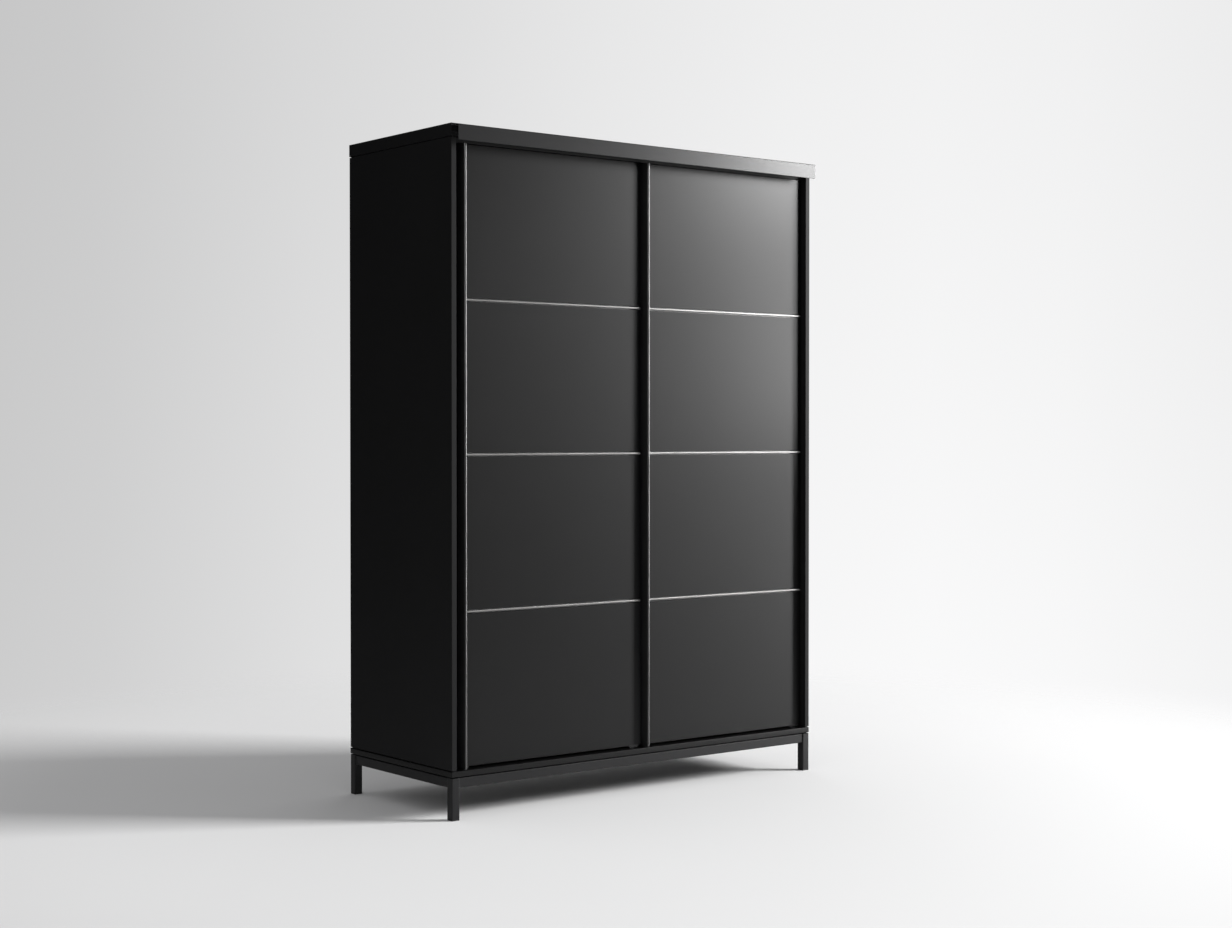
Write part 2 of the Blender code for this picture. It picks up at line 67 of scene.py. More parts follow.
# The middle of what noise gives, which most patterns are spread over.
NOISE_MIDDLE = (0.3, 0.7)

FLAT_FACE_WEIGHT = 100
WELD_DISTANCE = 0.00001

# Finer shapes
FASCIA_EDGE_ROUND = 0.0006
FASCIA_LIP_ROUND = 0.0004
FASCIA_BEND_ROUND = 0.0022
GRIP_WALL = 0.0024
GRIP_NOSE_FLAT = 0.0004
GRIP_INNER_ROUND = 0.0006
GRIP_OUTER_ROUND = 0.0008
GRIP_HOLLOW_STEPS = 2

# Small pieces
PIN_LENGTH = 0.0080
PIN_GAP = 0.0002
BUSH_SIDES = 16
BUSH_STEPS = (-3, -2, -1, 1, 2, 3)
SCREW_HEIGHT = 0.0016
SCREW_INSET = 0.010
SCREWS_ACROSS = 8
SCREWS_UPRIGHT = 10
CATCH_SCREW_RADIUS = 0.0022
CATCH_SCREW_HEIGHT = 0.0010
CATCH_SCREW_SHARES = (0.28, 0.72)
PAD_INSET = 0.05


def length_property(name, description, default):
    return FloatProperty(
        name=name, description=description, default=default, min=0.0, unit="LENGTH", precision=5
    )


def colour_property(name, description, default):
    return FloatVectorProperty(
        name=name, description=description, default=default, size=3, subtype="COLOR", min=0, max=1
    )


def share_property(name, description, default):
    return FloatProperty(
        name=name, description=description, default=default, min=0.0, max=1.0, subtype="FACTOR"
    )


def power_property(name, description, default):
    return FloatProperty(name=name, description=description, default=default, min=0.0, unit="POWER")


def angle_property(name, description, degrees):
    return FloatProperty(
        name=name, description=description, default=math.radians(degrees), subtype="ANGLE"
    )


def place_property(name, description, default):
    return FloatVectorProperty(name=name, description=description, default=default, unit="LENGTH")


class WardrobeFinishes(bpy.types.PropertyGroup):
    """Colours and roughnesses of the wardrobe's finishes."""

    lacquer: colour_property("Lacquer", "Carcass boards", (0.0112, 0.0112, 0.0116))
    lacquer_roughness: share_property("Lacquer roughness", "Carcass boards", 0.55)
    panel: colour_property("Door panels", "Satin lacquer", (0.0026, 0.0026, 0.0027))
    panel_roughness: share_property("Panel roughness", "Door panels", 0.375)
    laminate: colour_property("Laminate", "Shelves, partition and back", (0.092, 0.092, 0.095))
    powder: colour_property("Powder coat", "Base frame", (0.0095, 0.0095, 0.0100))
    fascia: colour_property("Fascia coat", "Folded fascia", (0.0120, 0.0120, 0.0124))
    grip: colour_property("Grip", "Black anodised stiles and rails", (0.0190, 0.0190, 0.0194))
    bead: colour_property("Bead", "Dark anodised beads", (0.190, 0.188, 0.185))
    steel: colour_property("Steel", "Hanging rail, pins and plates", (0.46, 0.46, 0.47))
    plastic: colour_property("Plastic", "Glides and catches", (0.012, 0.012, 0.012))
    felt: colour_property("Felt", "Soft pads that the doors close on", (0.020, 0.020, 0.021))


class WardrobeDetails(bpy.types.PropertyGroup):
    """Sizes of the small pieces and of the finer shapes."""

    arc_steps: IntProperty(name="Arc steps", description="Facets in each rounded corner", default=8)
    fascia_sheet: length_property("Fascia sheet", "Thickness of the folded sheet", 0.0018)
    fascia_lip: length_property("Fascia lip", "Height of the lip on the top board", 0.022)
    grip_width: length_property("Grip width", "Thickness of the upright grips", 0.008)
    screw_radius: length_property("Screw head", "Radius of the small screw heads", 0.0035)
    pin_radius: length_property("Shelf pin", "Radius of the shelf pins", 0.0025)
    hole_pitch: length_property("Hole pitch", "Between one pin hole and the next", 0.032)
    hole_setback: length_property("Hole setback", "From a shelf's front to its pins", 0.055)
    pad_radius: length_property("Pad radius", "Felt pads inside the doors", 0.005)


class WardrobeStage(bpy.types.PropertyGroup):
    """The floor, the light and the camera."""

    floor: colour_property("Floor", "The pale floor", (0.80, 0.80, 0.80))
    sky: share_property("Sky", "Even light from all round", 0.435)
    floor_radius: length_property("Floor radius", "Where the floor has faded out", 3.9)
    fade_start: length_property("Fade start", "Where the floor starts to fade", 1.7)
    key_power: power_property("Key power", "Distant soft light that draws the shadow", 3600.0)
    key_size: length_property("Key size", "Side of the square key light", 4.7)
    sheen_power: power_property("Sheen power", "Upright soft light mirrored in the doors", 26.5)
    sheen_place: place_property("Sheen", "Place of the upright soft light", (1.75, -1.30, 1.95))
    far_power: power_property("Far power", "Distant soft light seen in gloss", 720.0)
    rim_power: power_property("Rim power", "Seen in the back and the left side", 40.0)
    camera_place: place_property("Camera", "Place of the camera", (-4.0204, -5.2391, 1.1668))
    camera_yaw: angle_property("Camera yaw", "Turn from +Y", -38.248)
    camera_tilt: angle_property("Camera tilt", "From straight down", 89.13)
    lens: FloatProperty(name="Lens", description="Focal length", default=57.67, unit="CAMERA")


def finishes():
    return bpy.context.scene.wardrobe_finishes


def details():
    return bpy.context.scene.wardrobe_details


def stage_settings():
    return bpy.context.scene.wardrobe_stage


# Shader building


def add_node(tree, kind, values=None, **settings):
    """A new node with these settings. Each value is a number or colour, or a socket to link."""
    node = tree.nodes.new(kind)
    for name, setting in settings.items():
        setattr(node, name, setting)
    for socket, value in (values or {}).items():
        if isinstance(value, bpy.types.NodeSocket):
            tree.links.new(value, node.inputs[socket])
        else:
            node.inputs[socket].default_value = value
    return node


def noise(tree, place, scale, detail=2.0, roughness=0.5):
    values = {"Vector": place, "Scale": scale, "Detail": detail, "Roughness": roughness}
    return add_node(tree, "ShaderNodeTexNoise", values).outputs["Fac"]


def lines_along(tree, place, axis, fine, coarse, scale=1.0, detail=2.0, roughness=0.5):
    """Noise drawn out into lines along one axis, for brushed or grained patterns."""
    stretch = [fine] * 3
    stretch["XYZ".index(axis)] = coarse
    values = {"Vector": place, "Scale": tuple(stretch)}
    stretched = add_node(tree, "ShaderNodeMapping", values).outputs["Vector"]
    return noise(tree, stretched, scale, detail, roughness)


def spread(tree, value, given, wanted):
    """The value moved from one range to another, each a pair of low and high."""
    values = {
        "Value": value,
        "From Min": given[0],
        "From Max": given[1],
        "To Min": wanted[0],
        "To Max": wanted[1],
    }
    return add_node(tree, "ShaderNodeMapRange", values).outputs["Result"]


def times(tree, first, second):
    return add_node(tree, "ShaderNodeMath", {0: first, 1: second}, operation="MULTIPLY").outputs[0]


def plus(tree, first, second):
    return add_node(tree, "ShaderNodeMath", {0: first, 1: second}, operation="ADD").outputs[0]


def blended(tree, share, first, second):
    """A mix of two colours, each a colour or a socket."""
    node = tree.nodes.new("ShaderNodeMix")
    node.data_type = "RGBA"
    for number, value in ((0, share), (6, first), (7, second)):
        if isinstance(value, bpy.types.NodeSocket):
            tree.links.new(value, node.inputs[number])
        else:
            node.inputs[number].default_value = value
    return node.outputs[2]


def scaled_colour(colour, factor):
    return (*[min(1.0, part * factor) for part in colour], 1.0)


def mottled(tree, share, colour, start, end):
    """The colour times the first factor where the share is 0, and the second where it is 1."""
    return blended(tree, share, scaled_colour(colour, start), scaled_colour(colour, end))


def edge_share(tree, place, radius, breakup):
    """From 0 on flats to 1 on worn edges, broken up so that the wear is uneven."""
    soft = add_node(tree, "ShaderNodeBevel", {"Radius": radius}, samples=4).outputs["Normal"]
    flat = tree.nodes.new("ShaderNodeNewGeometry").outputs["Normal"]
    values = {0: soft, 1: flat}
    dot = add_node(tree, "ShaderNodeVectorMath", values, operation="DOT_PRODUCT").outputs["Value"]
    edge = spread(tree, dot, (0.995, 0.90), (0.0, 1.0))
    patches = noise(tree, place, scale=breakup, detail=3.0)
    broken = spread(tree, patches, (0.38, 0.66), (0.15, 1.0))
    return times(tree, edge, broken)


def worn(tree, place, base, colour, radius, share, paler, breakup=90.0):
    """The base tone, with a share of a paler colour on edges about as wide as the radius."""
    edge = edge_share(tree, place, radius, breakup)
    return blended(tree, times(tree, edge, share), base, scaled_colour(colour, paler))


def roughened(tree, pattern, low, high, roughness):
    """The roughness, with a little less or more of it where the pattern is low or high."""
    return plus(tree, spread(tree, pattern, NOISE_MIDDLE, (low, high)), roughness)


def bump(tree, height, strength, distance, normal=None):
    values = {"Height": height, "Strength": strength, "Distance": distance}
    if normal is not None:
        values["Normal"] = normal
    return add_node(tree, "ShaderNodeBump", values).outputs["Normal"]


def new_finish(name, metallic=0.0, specular=0.5):
    material = bpy.data.materials.new(name)
    material.use_nodes = True
    tree = material.node_tree
    shader = tree.nodes["Principled BSDF"]
    shader.inputs["Metallic"].default_value = metallic
    shader.inputs["Specular IOR Level"].default_value = specular
    place = tree.nodes.new("ShaderNodeTexCoord").outputs["Object"]
    return material, tree, shader, place


def join_finish(tree, shader, colour, roughness, normal):
    tree.links.new(colour, shader.inputs["Base Color"])
    tree.links.new(roughness, shader.inputs["Roughness"])
    tree.links.new(normal, shader.inputs["Normal"])


def lacquer_finish(name, colour, roughness, specular):
    """Sprayed satin lacquer: a fine orange peel, a slow wave from rubbing down, and worn edges."""
    material, tree, shader, place = new_finish(name, specular=specular)
    cloud = noise(tree, place, scale=2.6, detail=3.0)
    mottle = mottled(tree, cloud, colour, 0.90, 1.14)
    tone = worn(tree, place, mottle, colour, radius=0.0016, share=0.5, paler=3.0)
    handled = noise(tree, place, scale=11.0, detail=6.0, roughness=0.66)
    smudge = spread(tree, handled, (0.35, 0.70), (-0.003, 0.004))
    grit = spread(tree, noise(tree, place, scale=420.0, detail=1.0), NOISE_MIDDLE, (-0.02, 0.02))
    rough = plus(tree, plus(tree, smudge, grit), roughness)
    slow = noise(tree, place, scale=5.5, detail=1.0)
    wave = bump(tree, slow, strength=0.03, distance=0.0006)
    fine = noise(tree, place, scale=330.0, detail=2.0)
    peel = bump(tree, fine, strength=0.055, distance=0.0004, normal=wave)
    join_finish(tree, shader, tone, rough, peel)
    return material


def powder_finish(name, colour, roughness, specular):
    """Powder coat: a close pebbled skin, thinner and paler on the edges."""
    material, tree, shader, place = new_finish(name, specular=specular)
    cloud = noise(tree, place, scale=6.0, detail=3.0)
    base = mottled(tree, cloud, colour, 0.88, 1.16)
    tone = worn(tree, place, base, colour, radius=0.0012, share=0.55, paler=3.4, breakup=140.0)
    pebble = noise(tree, place, scale=900.0, detail=2.0, roughness=0.6)
    rough = roughened(tree, pebble, -0.04, 0.05, roughness)
    skin = bump(tree, pebble, strength=0.11, distance=0.0003)
    join_finish(tree, shader, tone, rough, skin)
    return material


def anodised_finish(name, colour, roughness, axis, metallic=0.0, specular=0.5):
    """Anodised aluminium with the faint lines of its extrusion running along the piece."""
    material, tree, shader, place = new_finish(name, metallic=metallic, specular=specular)
    drawn = lines_along(tree, place, axis, fine=1500.0, coarse=6.0)
    cloud = noise(tree, place, scale=9.0, detail=2.0)
    base = mottled(tree, cloud, colour, 0.9, 1.12)
    tone = worn(tree, place, base, colour, radius=0.0010, share=0.5, paler=2.2, breakup=120.0)
    rough = roughened(tree, drawn, -0.035, 0.045, roughness)
    skin = bump(tree, drawn, strength=0.06, distance=0.0002)
    join_finish(tree, shader, tone, rough, skin)
    return material


def laminate_finish(name, colour, roughness, axis):
    """Matt laminate with a fine pressed grain along one axis and a paler sanded edge."""
    material, tree, shader, place = new_finish(name, specular=0.25)
    grain = lines_along(tree, place, axis, 60.0, 2.5, scale=1.6, detail=6.0, roughness=0.62)
    share = spread(tree, grain, (0.36, 0.66), (0.0, 1.0))
    base = mottled(tree, share, colour, 0.86, 1.14)
    tone = worn(tree, place, base, colour, radius=0.0012, share=0.4, paler=2.2)
    rough = spread(tree, grain, NOISE_MIDDLE, (roughness + 0.06, roughness - 0.05))
    pore = bump(tree, grain, strength=0.22, distance=0.0004)
    join_finish(tree, shader, tone, rough, pore)
    return material


def steel_finish(name, colour, roughness, axis):
    """Satin steel, brushed along one axis, with a little darker handling in places."""
    material, tree, shader, place = new_finish(name, metallic=1.0)
    drawn = lines_along(tree, place, axis, fine=900.0, coarse=14.0, detail=3.0)
    patches = noise(tree, place, scale=24.0, detail=4.0)
    handled = spread(tree, patches, (0.45, 0.75), (0.0, 0.55))
    base = mottled(tree, handled, colour, 1.0, 0.72)
    rough = roughened(tree, drawn, -0.05, 0.07, roughness)
    skin = bump(tree, drawn, strength=0.08, distance=0.0002)
    join_finish(tree, shader, base, rough, skin)
    return material


def moulded_finish(name, colour, roughness):
    """Moulded black plastic with a fine spark-eroded grain."""
    material, tree, shader, place = new_finish(name, specular=0.3)
    grain = noise(tree, place, scale=1100.0, detail=2.0, roughness=0.6)
    base = mottled(tree, noise(tree, place, scale=30.0), colour, 0.85, 1.25)
    tone = worn(tree, place, base, colour, radius=0.0008, share=0.4, paler=3.0, breakup=160.0)
    rough = roughened(tree, grain, -0.06, 0.06, roughness)
    skin = bump(tree, grain, strength=0.18, distance=0.0003)
    join_finish(tree, shader, tone, rough, skin)
    return material


def felt_finish(name, colour):
    """Pressed felt: matted fibres with a soft sheen."""
    material, tree, shader, place = new_finish(name, specular=0.15)
    fibre = noise(tree, place, scale=1400.0, detail=6.0, roughness=0.75)
    tone = mottled(tree, fibre, colour, 0.5, 1.9)
    rough = spread(tree, fibre, NOISE_MIDDLE, (0.88, 0.98))
    shader.inputs["Sheen Weight"].default_value = 0.3
    skin = bump(tree, fibre, strength=0.7, distance=0.0006)
    join_finish(tree, shader, tone, rough, skin)
    return material


FINISHES = {}


def make_finishes():
    look = finishes()
    made = {
        "lacquer": lacquer_finish("satin lacquer", look.lacquer, look.lacquer_roughness, 0.075),
        "panel": lacquer_finish("door lacquer", look.panel, look.panel_roughness, 0.20),
        "laminate_upright": laminate_finish("laminate, upright grain", look.laminate, 0.52, "Z"),
        "laminate_across": laminate_finish("laminate, grain across", look.laminate, 0.52, "X"),
        "powder": powder_finish("base powder coat", look.powder, 0.40, 0.22),
        "fascia": powder_finish("fascia coat", look.fascia, 0.33, 0.24),
        "grip": anodised_finish("black anodised, upright", look.grip, 0.31, "Z", specular=0.85),
        "grip_across": anodised_finish("black anodised, across", look.grip, 0.33, "X"),
        "bead": anodised_finish("dark anodised bead", look.bead, 0.41, "X", metallic=0.85),
        "steel_x": steel_finish("satin steel, along X", look.steel, 0.26, "X"),
        "steel_z": steel_finish("satin steel, along Z", look.steel, 0.26, "Z"),
        "plastic": moulded_finish("moulded plastic", look.plastic, 0.50),
        "felt": felt_finish("felt", look.felt),
    }
    FINISHES.update(made)


# Mesh building


def rounding_group():
    """A modifier that welds a frame node's triangles and shades its small arcs as curves."""
    group = bpy.data.node_groups.get("welded and smooth")
    if group is not None:
        return group
    group = bpy.data.node_groups.new("welded and smooth", "GeometryNodeTree")
    group.interface.new_socket("Geometry", in_out="INPUT", socket_type="NodeSocketGeometry")
    group.interface.new_socket("Geometry", in_out="OUTPUT", socket_type="NodeSocketGeometry")
    start = group.nodes.new("NodeGroupInput")
    end = group.nodes.new("NodeGroupOutput")
    values = {"Geometry": start.outputs[0], "Name": "custom_normal"}
    bare = add_node(group, "GeometryNodeRemoveAttribute", values)
    values = {"Geometry": bare.outputs[0], "Distance": WELD_DISTANCE}
    welded = add_node(group, "GeometryNodeMergeByDistance", values)
    values = {"Geometry": welded.outputs[0]}
    smooth = add_node(group, "GeometryNodeSetShadeSmooth", values, domain="FACE")
    angle = group.nodes.new("GeometryNodeInputMeshEdgeAngle").outputs["Unsigned Angle"]
    sharp = add_node(
        group,
        "FunctionNodeCompare",
        {0: angle, 1: SMOOTH_ANGLE},
        data_type="FLOAT",
        operation="GREATER_THAN",
    )
    creased = add_node(
        group,
        "GeometryNodeSetShadeSmooth",
        {"Geometry": smooth.outputs[0], "Selection": sharp.outputs[0], "Shade Smooth": False},
        domain="EDGE",
    )
    group.links.new(creased.outputs[0], end.inputs[0])
    return group


def mesh_from(shape, name, material):
    mesh = bpy.data.meshes.new(name)
    shape.to_mesh(mesh)
    shape.free()
    mesh.materials.append(material)
    return mesh


def add_object(name, data):
    made = bpy.data.objects.new(name, data)
    bpy.context.scene.collection.objects.link(made)
    return made


def add_weighted_normals(piece):
    weighted = piece.modifiers.new("flat faces stay flat", "WEIGHTED_NORMAL")
    weighted.weight = FLAT_FACE_WEIGHT
    weighted.keep_sharp = True


def keep_node(name, finish):
    """Shows a frame node in this finish."""
    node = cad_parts[name]
    node.data.materials.clear()
    node.data.materials.append(FINISHES[finish])
    smooth = node.modifiers.new("welded and smooth", "NODES")
    smooth.node_group = rounding_group()
    add_weighted_normals(node)
    return node


def piece_from(shape, name, finish, body, replaced=()):
    """Turns a shape drawn in the frame's coordinates into a piece that rides on a body."""
    bmesh.ops.recalc_face_normals(shape, faces=shape.faces)
    for face in shape.faces:
        face.smooth = True
    for edge in shape.edges:
        edge.smooth = len(edge.link_faces) == 2 and edge.calc_face_angle() < SMOOTH_ANGLE
    piece = add_object(name, mesh_from(shape, name, FINISHES[finish]))
    add_weighted_normals(piece)
    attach(piece, body)
    if replaced:
        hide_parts(*replaced)
    return piece


def arc_corners(outline, radii, steps):
    """The outline with each corner that has a radius turned into an arc."""
    points = []
    for index, corner in enumerate(outline):
        radius = radii[index]
        here = Vector(corner)
        if radius == 0:
            points.append(here)
            continue
        before = (Vector(outline[index - 1]) - here).normalized()
        after = (Vector(outline[(index + 1) % len(outline)]) - here).normalized()
        half = before.angle(after) / 2
        centre = here + (before + after).normalized() * (radius / math.sin(half))
        start = here + before * (radius / math.tan(half)) - centre
        end = here + after * (radius / math.tan(half)) - centre
        for step in range(steps + 1):
            points.append(centre + start.lerp(end, step / steps).normalized() * radius)
    return points


def axis_point(axis, along, first, second):
    """A point from its place along the axis and its two places across, in X, Y, Z order."""
    if axis == "X":
        return Vector((along, first, second))
    if axis == "Y":
        return Vector((first, along, second))
    return Vector((first, second, along))


def draw_out(shape, axis, loops, low, high, chamfer=0.0):
    """Adds the outlines drawn out along an axis. The first is the outside, the others are holes."""
    rings = []
    for number, outline in enumerate(loops):
        middle = sum(outline, Vector((0.0, 0.0))) / len(outline)
        reach = max((point - middle).length for point in outline)
        places = [(low, chamfer), (low + chamfer, 0.0), (high - chamfer, 0.0), (high, chamfer)]
        if chamfer == 0.0:
            places = [(low, 0.0), (high, 0.0)]
        made = []
        for along, inset in places:
            scale = 1.0 - inset / reach if number == 0 else 1.0 + inset / reach
            moved = [middle + (point - middle) * scale for point in outline]
            made.append([shape.verts.new(axis_point(axis, along, *point)) for point in moved])
        for first, second in zip(made, made[1:]):
            for index in range(len(first)):
                following = (index + 1) % len(first)
                shape.faces.new((first[index], first[following], second[following], second[index]))
        rings.append(made)
    for end in (0, -1):
        if len(rings) == 1:
            shape.faces.new(rings[0][end])
            continue
        edges = []
        for made in rings:
            ring = made[end]
            edges += [shape.edges.get(pair) for pair in zip(ring, ring[1:] + ring[:1])]
        bmesh.ops.triangle_fill(shape, use_beauty=True, edges=edges)


def add_turned(shape, profile, centre, axis, direction=1, sides=24):
    """Adds a turned solid. The profile lists (distance along the axis, radius), end to end."""
    rings = []
    for along, radius in profile:
        turn = 2 * math.pi / sides
        ring = []
        for step in range(sides):
            a, b = radius * math.cos(turn * step), radius * math.sin(turn * step)
            offset = axis_point(axis, direction * along, a, b)
            ring.append(shape.verts.new(Vector(centre) + offset))
        rings.append(ring)
    for first, second in zip(rings, rings[1:]):
        for index in range(sides):
            following = (index + 1) % sides
            shape.faces.new((first[index], first[following], second[following], second[index]))
    shape.faces.new(rings[0])
    shape.faces.new(rings[-1])


def screw_profile(radius, height):
    """A pan head with a rim, a dished top and a round recess."""
    return [
        (0.0, radius),
        (height * 0.45, radius),
        (height * 0.85, radius * 0.84),
        (height, radius * 0.55),
        (height, radius * 0.42),
        (height * 0.55, radius * 0.34),
        (height * 0.45, radius * 0.12),
    ]


def pin_profile(radius):
    """A straight pin with a rounded end."""
    return [
        (0.0, radius),
        (0.0068, radius),
        (0.0078, radius * 0.8),
        (PIN_LENGTH, radius * 0.4),
    ]


def bush_profile(radius):
    """A thin collar with a shallow hole."""
    return [
        (0.0, radius * 1.5),
        (0.0004, radius * 1.45),
        (0.0005, radius),
        (0.0001, radius * 0.92),
    ]


def pad_profile(radius):
    """A thin round pad with a softened rim."""
    return [
        (0.0, radius),
        (0.0007, radius),
        (0.0011, radius * 0.8),
        (0.0012, radius * 0.3),
    ]


# The pieces


def build_boards():
    for name in ("left_side_panel", "right_side_panel", "top_board"):
        keep_node(name, "lacquer")
    keep_node("bottom_board", "panel")
    keep_node("left_jamb_strip", "lacquer")
    keep_node("top_filler", "lacquer")


def build_interior():
    keep_node("back_panel", "laminate_upright")
    keep_node("centre_partition", "laminate_upright")
    for name in ("left_top_shelf", *RIGHT_SHELVES):
        keep_node(name, "laminate_across")
    for name in ("hanging_rail", "hanging_rail_left_socket", "hanging_rail_right_socket"):
        keep_node(name, "steel_x")


def build_base():
    for corner in CORNERS:
        keep_node(corner + "_leg", "powder")
        keep_node(corner + "_glide", "plastic")
    for side in ("front", "back", "left", "right"):
        keep_node(side + "_base_rail", "powder")


def build_fascia():
    """The folded sheet, with finer bends than its frame node."""
    look = details()
    low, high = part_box("fascia")
    sheet, lip = look.fascia_sheet, look.fascia_lip
    outline = [
        (low.y, low.z),
        (low.y + sheet, low.z),
        (low.y + sheet, high.z - sheet),
        (high.y - sheet, high.z - sheet),
        (high.y - sheet, high.z - lip),
        (high.y, high.z - lip),
        (high.y, high.z),
        (low.y, high.z),
    ]
    radii = [FASCIA_EDGE_ROUND] * 4 + [FASCIA_LIP_ROUND] * 2 + [FASCIA_BEND_ROUND] * 2
    shape = bmesh.new()
    draw_out(shape, "X", [arc_corners(outline, radii, look.arc_steps)], low.x, high.x)
    piece_from(shape, "folded_fascia", "fascia", "carcass", ["fascia"])


def build_grips():
    look = details()
    for door in DOORS:
        low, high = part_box(door + "_grip_stile")
        stile_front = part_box(door + "_hinge_stile")[0].y
        width = look.grip_width
        nose = width / 2 - GRIP_NOSE_FLAT
        outline = [
            (low.x, low.y),
            (low.x + width, low.y),
            (low.x + width, stile_front),
            (high.x, stile_front),
            (high.x, high.y),
            (low.x, high.y),
        ]
        radii = [nose, nose, 0.0, GRIP_INNER_ROUND, GRIP_OUTER_ROUND, GRIP_OUTER_ROUND]
        hollow = [
            (low.x + GRIP_WALL, stile_front + GRIP_WALL),
            (high.x - GRIP_WALL, stile_front + GRIP_WALL),
            (high.x - GRIP_WALL, high.y - GRIP_WALL),
            (low.x + GRIP_WALL, high.y - GRIP_WALL),
        ]
        outer = arc_corners(outline, radii, look.arc_steps)
        inner = arc_corners(hollow, [GRIP_INNER_ROUND] * 4, GRIP_HOLLOW_STEPS)
        shape = bmesh.new()
        draw_out(shape, "Z", [outer, inner], low.z, high.z)
        piece_from(shape, door + "_grip", "grip", door, [door + "_grip_stile"])


def build_frames():
    for door in DOORS:
        keep_node(door + "_hinge_stile", "grip")
        keep_node(door + "_top_rail", "grip_across")
        keep_node(door + "_bottom_rail", "grip_across")


def build_panels():
    for door in DOORS:
        for number in range(1, 5):
            keep_node(f"{door}_panel_{number}", "panel")


def build_beads():
    for door in DOORS:
        for number in range(1, 4):
            keep_node(f"{door}_bead_{number}", "bead")


def shelf_walls():
    """The two faces that carry the right shelves, each with the direction into the bay."""
    partition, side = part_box("centre_partition")[1].x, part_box("right_side_panel")[0].x
    return ((partition, 1), (side, -1))


def pin_lines(low, high):
    """How far forward and back the shelf pins stand."""
    setback = details().hole_setback
    return (low.y + setback, high.y - setback)


def build_shelf_fixings():
    """Four pins under each right shelf, and bushed pin holes above and below it."""
    look = details()
    pins = bmesh.new()
    bushes = bmesh.new()
    radius = look.pin_radius
    pin = pin_profile(radius)
    bush = bush_profile(radius)
    for shelf in RIGHT_SHELVES:
        low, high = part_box(shelf)
        for wall, direction in shelf_walls():
            for y in pin_lines(low, high):
                height = low.z - radius - PIN_GAP
                add_turned(pins, pin, (wall, y, height), "X", direction)
                for step in BUSH_STEPS:
                    place = (wall, y, height + step * look.hole_pitch)
                    add_turned(bushes, bush, place, "X", direction, BUSH_SIDES)
    piece_from(pins, "shelf_pins", "steel_x", "carcass")
    piece_from(bushes, "pin_hole_bushes", "plastic", "carcass")


def spaced(low, high, count):
    return [low + (high - low) * k / (count - 1) for k in range(count)]


def build_screws():
    """Pan-head screws round the back panel and beside the door catches."""
    head = screw_profile(details().screw_radius, SCREW_HEIGHT)
    low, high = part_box("back_panel")
    shape = bmesh.new()
    across = spaced(low.x + SCREW_INSET, high.x - SCREW_INSET, SCREWS_ACROSS)
    upright = spaced(low.z + SCREW_INSET, high.z - SCREW_INSET, SCREWS_UPRIGHT)
    partition_low, partition_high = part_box("centre_partition")
    middle = (partition_low.x + partition_high.x) / 2
    places = [(x, z) for x in across for z in (upright[0], upright[-1])]
    places += [(x, z) for x in (across[0], across[-1], middle) for z in upright[1:-1]]
    for x, z in places:
        add_turned(shape, head, (x, high.y, z), "Y")
    piece_from(shape, "back_panel_screws", "steel_z", "carcass")
    for door in DOORS:
        low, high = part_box(door + "_catch")
        shape = bmesh.new()
        for share in CATCH_SCREW_SHARES:
            place = (high.x, (low.y + high.y) / 2, low.z + (high.z - low.z) * share)
            add_turned(shape, screw_profile(CATCH_SCREW_RADIUS, CATCH_SCREW_HEIGHT), place, "X")
        piece_from(shape, door + "_catch_screws", "steel_x", "carcass")


def build_pads():
    """Two felt pads behind each leaf's grip stile."""
    profile = pad_profile(details().pad_radius)
    for door in DOORS:
        low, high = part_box(door + "_grip_stile")
        shape = bmesh.new()
        for z in (low.z + PAD_INSET, high.z - PAD_INSET):
            add_turned(shape, profile, ((low.x + high.x) / 2, high.y, z), "Y")
        piece_from(shape, door + "_felt_pads", "felt", door)


def build_hardware():
    for door in DOORS:
        keep_node(door + "_bottom_pivot", "steel_z")
        keep_node(door + "_top_pivot", "steel_z")
        keep_node(door + "_catch", "plastic")
        keep_node(door + "_strike", "steel_z")


# The stage

FLOOR_SIDES = 96
# How far inside its rim the floor has gone clear.
CLEAR_RIM = 0.2


def fading_floor_finish():
    """Matt pale paper that thins out to nothing at the rim, so that no edge shows."""
    look = stage_settings()
    material = bpy.data.materials.new("pale floor")
    material.use_nodes = True
    tree = material.node_tree
    shader = tree.nodes["Principled BSDF"]
    shader.inputs["Roughness"].default_value = 0.85
    shader.inputs["Specular IOR Level"].default_value = 0.1
    place = tree.nodes.new("ShaderNodeTexCoord").outputs["Object"]
    tooth = noise(tree, place, scale=160.0, detail=3.0)
    tone = mottled(tree, tooth, look.floor, 0.99, 1.01)
    tree.links.new(tone, shader.inputs["Base Color"])
    reach = add_node(tree, "ShaderNodeVectorMath", {0: place}, operation="LENGTH").outputs["Value"]
    fade = add_node(
        tree,
        "ShaderNodeMapRange",
        {"Value": reach, "From Min": look.fade_start, "From Max": look.floor_radius - CLEAR_RIM},
        interpolation_type="SMOOTHSTEP",
    ).outputs["Result"]
    clear = tree.nodes.new("ShaderNodeBsdfTransparent").outputs[0]
    mixed = add_node(tree, "ShaderNodeMixShader", {0: fade, 1: shader.outputs[0], 2: clear})
    tree.links.new(mixed.outputs[0], tree.nodes["Material Output"].inputs["Surface"])
    return material


def build_floor():
    look = stage_settings()
    shape = bmesh.new()
    sides = FLOOR_SIDES
    bmesh.ops.create_circle(shape, cap_ends=True, segments=sides, radius=look.floor_radius)
    mesh = mesh_from(shape, "studio_floor", fading_floor_finish())
    floor = add_object("studio_floor", mesh)


